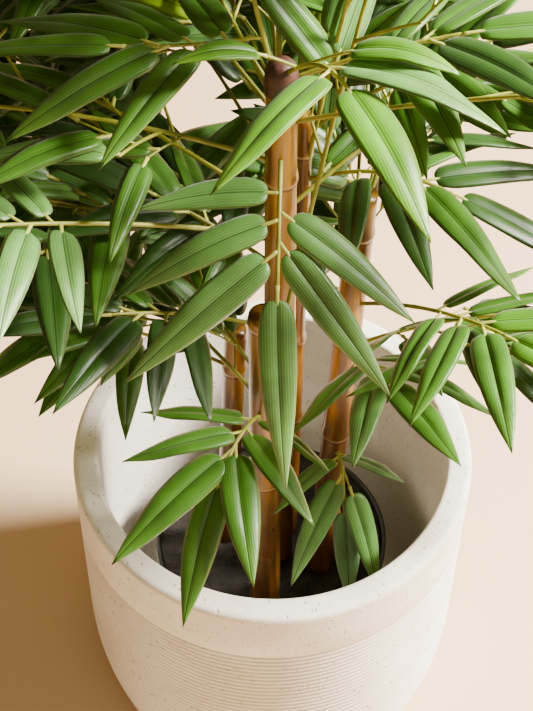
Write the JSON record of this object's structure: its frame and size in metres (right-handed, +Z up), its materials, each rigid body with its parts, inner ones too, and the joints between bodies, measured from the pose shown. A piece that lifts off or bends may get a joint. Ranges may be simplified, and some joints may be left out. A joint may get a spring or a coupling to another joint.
{
  "type": "artificial potted bamboo",
  "caption": "Artificial bamboo with real cane trunks and layered leafy branches, standing in a grow pot inside a round stone-like planter.",
  "frame": {"origin": "centre of the planter's flat underside", "axes": "+Z up; -Y towards the side that the picture shows to the front; +X to that view's right"},
  "size_m": [0.7108, 0.5527, 1.0144],
  "materials": {
    "planter_stone": "matte off-white terrazzo-like fibre clay with fine speckles and pits",
    "grow_pot_plastic": "black moulded plastic",
    "fill_dark": "near-black rough crumb that fills the grow pot",
    "cane_wood": "varnished golden-brown natural cane with dark nodes",
    "leaf_fabric": "printed green woven leaves with a satin face and yellow-green plastic stems"
  },
  "bodies": {
    "root": {"planter": "planter_stone", "grow_pot": "grow_pot_plastic", "fill": "fill_dark", "cane_front": "cane_wood", "cane_low": "cane_wood", "cane_slim": "cane_wood", "cane_right": "cane_wood", "cane_back": "cane_wood", "foliage_centre": "leaf_fabric", "foliage_cap_left": "leaf_fabric", "foliage_cap_right": "leaf_fabric", "foliage_cap_far": "leaf_fabric", "foliage_left": "leaf_fabric", "foliage_left_low": "leaf_fabric", "foliage_pot_left": "leaf_fabric", "foliage_pot_right": "leaf_fabric", "foliage_right": "leaf_fabric", "foliage_right_low": "leaf_fabric", "foliage_right_high": "leaf_fabric", "foliage_left_back": "leaf_fabric", "foliage_right_back": "leaf_fabric", "foliage_left_mid": "leaf_fabric", "foliage_01": "leaf_fabric", "foliage_02": "leaf_fabric", "foliage_03": "leaf_fabric", "foliage_04": "leaf_fabric", "foliage_05": "leaf_fabric", "foliage_06": "leaf_fabric", "foliage_07": "leaf_fabric", "foliage_08": "leaf_fabric", "foliage_09": "leaf_fabric", "foliage_10": "leaf_fabric", "foliage_11": "leaf_fabric", "foliage_12": "leaf_fabric", "foliage_13": "leaf_fabric", "foliage_14": "leaf_fabric", "foliage_15": "leaf_fabric", "foliage_16": "leaf_fabric", "foliage_17": "leaf_fabric", "foliage_18": "leaf_fabric", "foliage_19": "leaf_fabric", "foliage_20": "leaf_fabric", "foliage_21": "leaf_fabric", "foliage_27": "leaf_fabric", "foliage_34": "leaf_fabric", "foliage_35": "leaf_fabric"}
  },
  "joints": []
}
